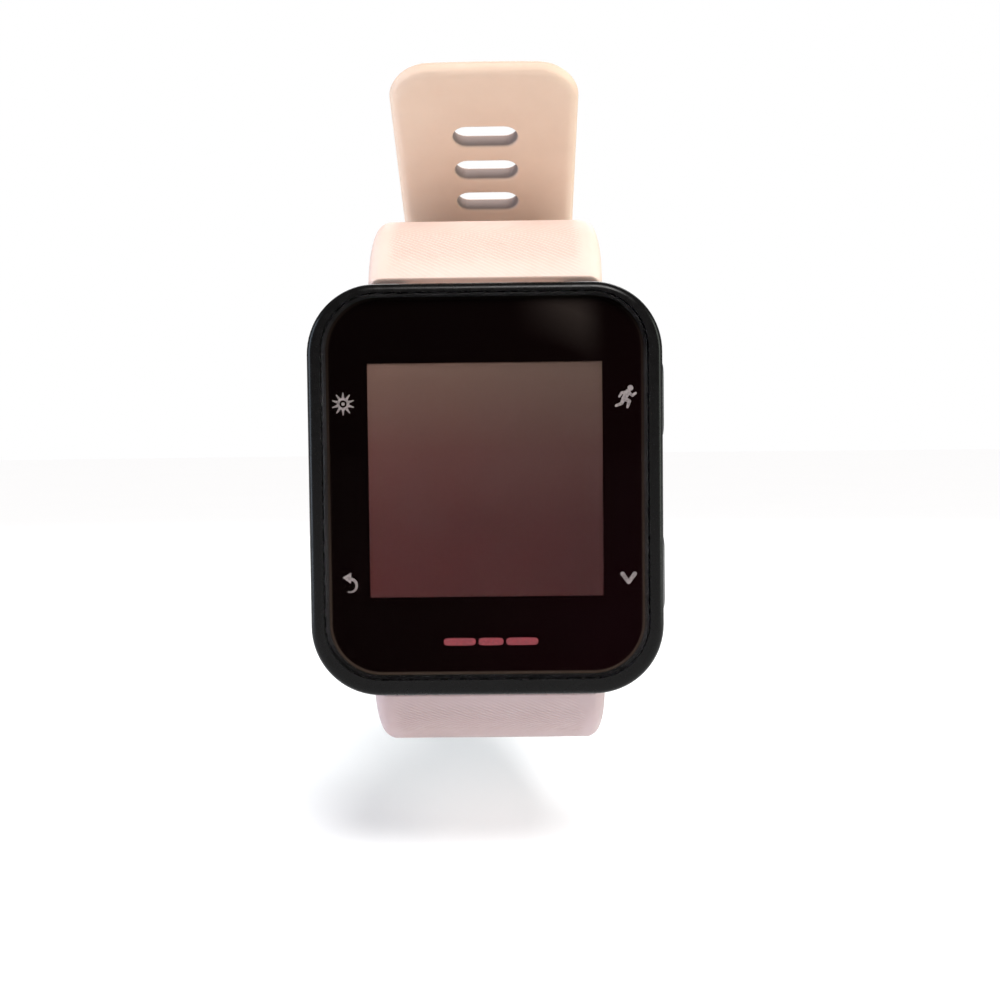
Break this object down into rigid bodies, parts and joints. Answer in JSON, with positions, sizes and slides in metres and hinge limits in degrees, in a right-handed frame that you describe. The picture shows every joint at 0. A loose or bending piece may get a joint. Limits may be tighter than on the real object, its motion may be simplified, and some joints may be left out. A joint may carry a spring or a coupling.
{
  "type": "gps watch",
  "caption": "Rectangular GPS sports watch: rounded case, square display under dark glass, side keys, optical sensor back and slotted silicone strap with pin buckle.",
  "frame": {"origin": "centre of the flat case back, on the plane that rests on the wrist", "axes": "+X right as the wearer reads the dial, +Y out of the case back toward the wrist, +Z toward twelve o'clock"},
  "size_m": [0.0366, 0.0517, 0.0739],
  "materials": {
    "case_plastic": "fine matte",
    "bezel_plastic": "satin",
    "lens_glass": "polished",
    "mask_ink": "printed",
    "adhesive": "matte",
    "display_glass": "unlit display",
    "light_guide": "frosted",
    "chassis_metal": "stamped",
    "board_green": "solder mask",
    "battery_foil": "foil pouch",
    "foam_tape": "foam",
    "shield_metal": "tinned",
    "motor_metal": "stamped",
    "antenna_ceramic": "ceramic",
    "ribbon_film": "polyimide film",
    "switch_metal": "stamped",
    "back_plastic": "satin",
    "gasket_rubber": "smooth",
    "sensor_glass": "polished",
    "emitter_plastic": "clear resin",
    "contact_gold": "gold plated",
    "screw_steel": "turned",
    "button_plastic": "satin",
    "pin_steel": "turned",
    "strap_silicone": "fine diagonal ribs",
    "buckle_steel": "brushed",
    "keeper_silicone": "smooth"
  },
  "bodies": {
    "case": {"back_cover": "back_plastic", "back_gasket": "gasket_rubber", "back_screw_lower_left": "screw_steel", "back_screw_lower_right": "screw_steel", "back_screw_upper_left": "screw_steel", "back_screw_upper_right": "screw_steel", "back_seal": "gasket_rubber", "backlight": "light_guide", "battery": "battery_foil", "battery_tape": "foam_tape", "bezel": "bezel_plastic", "bottom_strap_pin": "pin_steel", "case_body": "case_plastic", "charge_contacts": "contact_gold", "display_chassis": "chassis_metal", "display_panel": "display_glass", "display_ribbon": "ribbon_film", "down_seal": "gasket_rubber", "gps_antenna": "antenna_ceramic", "lens": "lens_glass", "lens_adhesive": "adhesive", "lens_print": "mask_ink", "light_seal": "gasket_rubber", "main_board": "board_green", "radio_antenna": "antenna_ceramic", "sensor_board": "board_green", "sensor_emitters": "emitter_plastic", "sensor_window": "sensor_glass", "shield_can": "shield_metal", "start_seal": "gasket_rubber", "switch_strip_left": "switch_metal", "switch_strip_right": "switch_metal", "top_strap_pin": "pin_steel", "vibration_motor": "motor_metal"},
    "light_button": {"light_button": "button_plastic"},
    "back_button": {"back_button": "button_plastic"},
    "start_button": {"start_button": "button_plastic"},
    "down_button": {"down_button": "button_plastic"},
    "lower_strap": {"long_strap_root": "strap_silicone"},
    "lower_tail": {"long_strap_tail": "strap_silicone"},
    "upper_strap": {"short_strap": "strap_silicone", "buckle_pin": "pin_steel"},
    "buckle": {"buckle_frame": "buckle_steel"},
    "tongue": {"buckle_tongue": "buckle_steel"},
    "keeper": {"strap_keeper": "keeper_silicone"}
  },
  "joints": [
    {"name": "light_button_press", "type": "slide", "parent": "case", "child": "light_button", "axis": [1, 0, 0], "range_m": [0, 0.00045], "stiffness_N_per_m": 1200},
    {"name": "back_button_press", "type": "slide", "parent": "case", "child": "back_button", "axis": [1, 0, 0], "range_m": [0, 0.00045], "stiffness_N_per_m": 1200},
    {"name": "start_button_press", "type": "slide", "parent": "case", "child": "start_button", "axis": [-1, 0, 0], "range_m": [0, 0.00045], "stiffness_N_per_m": 1200},
    {"name": "down_button_press", "type": "slide", "parent": "case", "child": "down_button", "axis": [-1, 0, 0], "range_m": [0, 0.00045], "stiffness_N_per_m": 1200},
    {"name": "lower_strap_hinge", "type": "hinge", "parent": "case", "child": "lower_strap", "pos_m": [0, -0.005, -0.018], "axis": [-1, 0, 0], "range_deg": [0, 30], "stiffness_Nm_per_rad": 0.05, "springref_deg": -5.16},
    {"name": "lower_strap_flex", "type": "hinge", "parent": "lower_strap", "child": "lower_tail", "pos_m": [0, 0.03927, 0.00055], "axis": [-1, 0, 0], "range_deg": [0, 60]},
    {"name": "upper_strap_hinge", "type": "hinge", "parent": "case", "child": "upper_strap", "pos_m": [0, -0.005, 0.018], "axis": [1, 0, 0], "range_deg": [0, 21]},
    {"name": "buckle_hinge", "type": "hinge", "parent": "upper_strap", "child": "buckle", "pos_m": [0, 0.02804, 0.00539], "axis": [1, 0, 0], "range_deg": [-30, 35]},
    {"name": "tongue_hinge", "type": "hinge", "parent": "buckle", "child": "tongue", "pos_m": [0, 0.02804, 0.00539], "axis": [1, 0, 0], "range_deg": [0, 45]},
    {"name": "keeper_slide", "type": "hinge", "parent": "upper_strap", "child": "keeper", "pos_m": [0, 0.00823, 0.00817], "axis": [1, 0, 0], "range_deg": [-6, 6]}
  ],
  "couplings": [
    {"joint": "lower_strap_flex", "follows": "lower_strap_hinge", "ratio": 2},
    {"joint": "upper_strap_hinge", "follows": "lower_strap_hinge", "ratio": 0.7}
  ]
}
